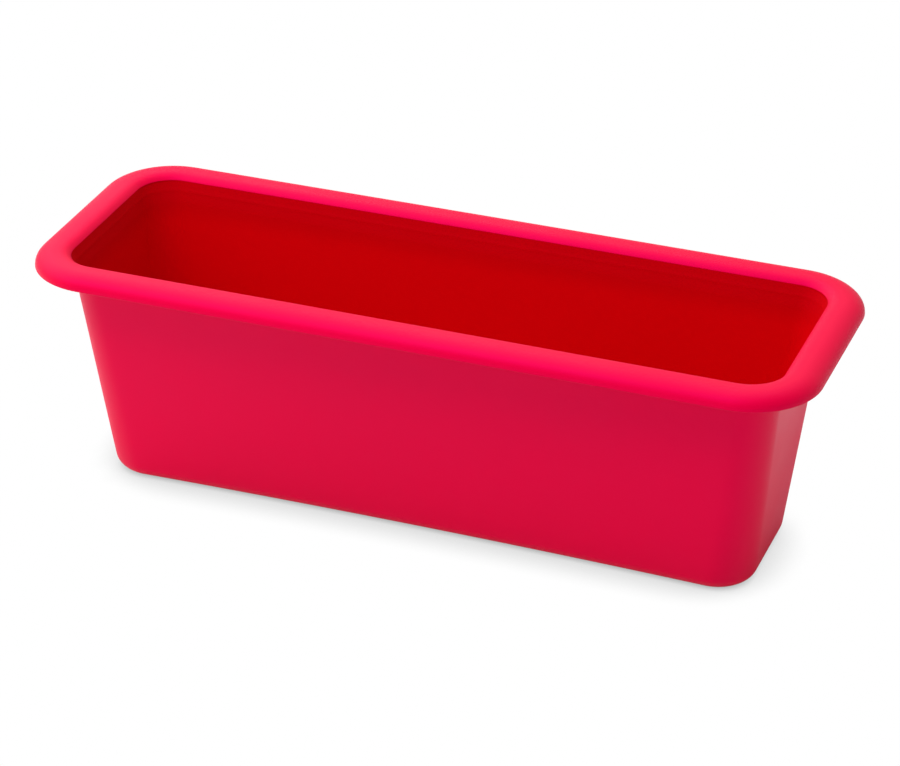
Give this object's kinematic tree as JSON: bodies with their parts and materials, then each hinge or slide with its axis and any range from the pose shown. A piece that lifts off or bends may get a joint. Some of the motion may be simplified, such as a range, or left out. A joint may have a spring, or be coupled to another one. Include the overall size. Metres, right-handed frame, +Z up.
{
  "type": "soap loaf mould",
  "caption": "Flexible silicone loaf mould for casting soap: a drafted tub with rounded corners and a broad domed rim. The wire ring inside the rim is assumed, not seen.",
  "frame": {"origin": "middle of the flat base, on the surface the mould stands on", "axes": "+X along the loaf, +Y across it, +Z up out of the mouth"},
  "size_m": [0.25, 0.09, 0.0785],
  "materials": {
    "silicone": "satin moulded silicone, pigmented crimson red",
    "wire_steel": "drawn stainless wire, butt-welded"
  },
  "bodies": {
    "root": {"mould_body": "silicone", "rim_wire": "wire_steel"}
  },
  "joints": []
}
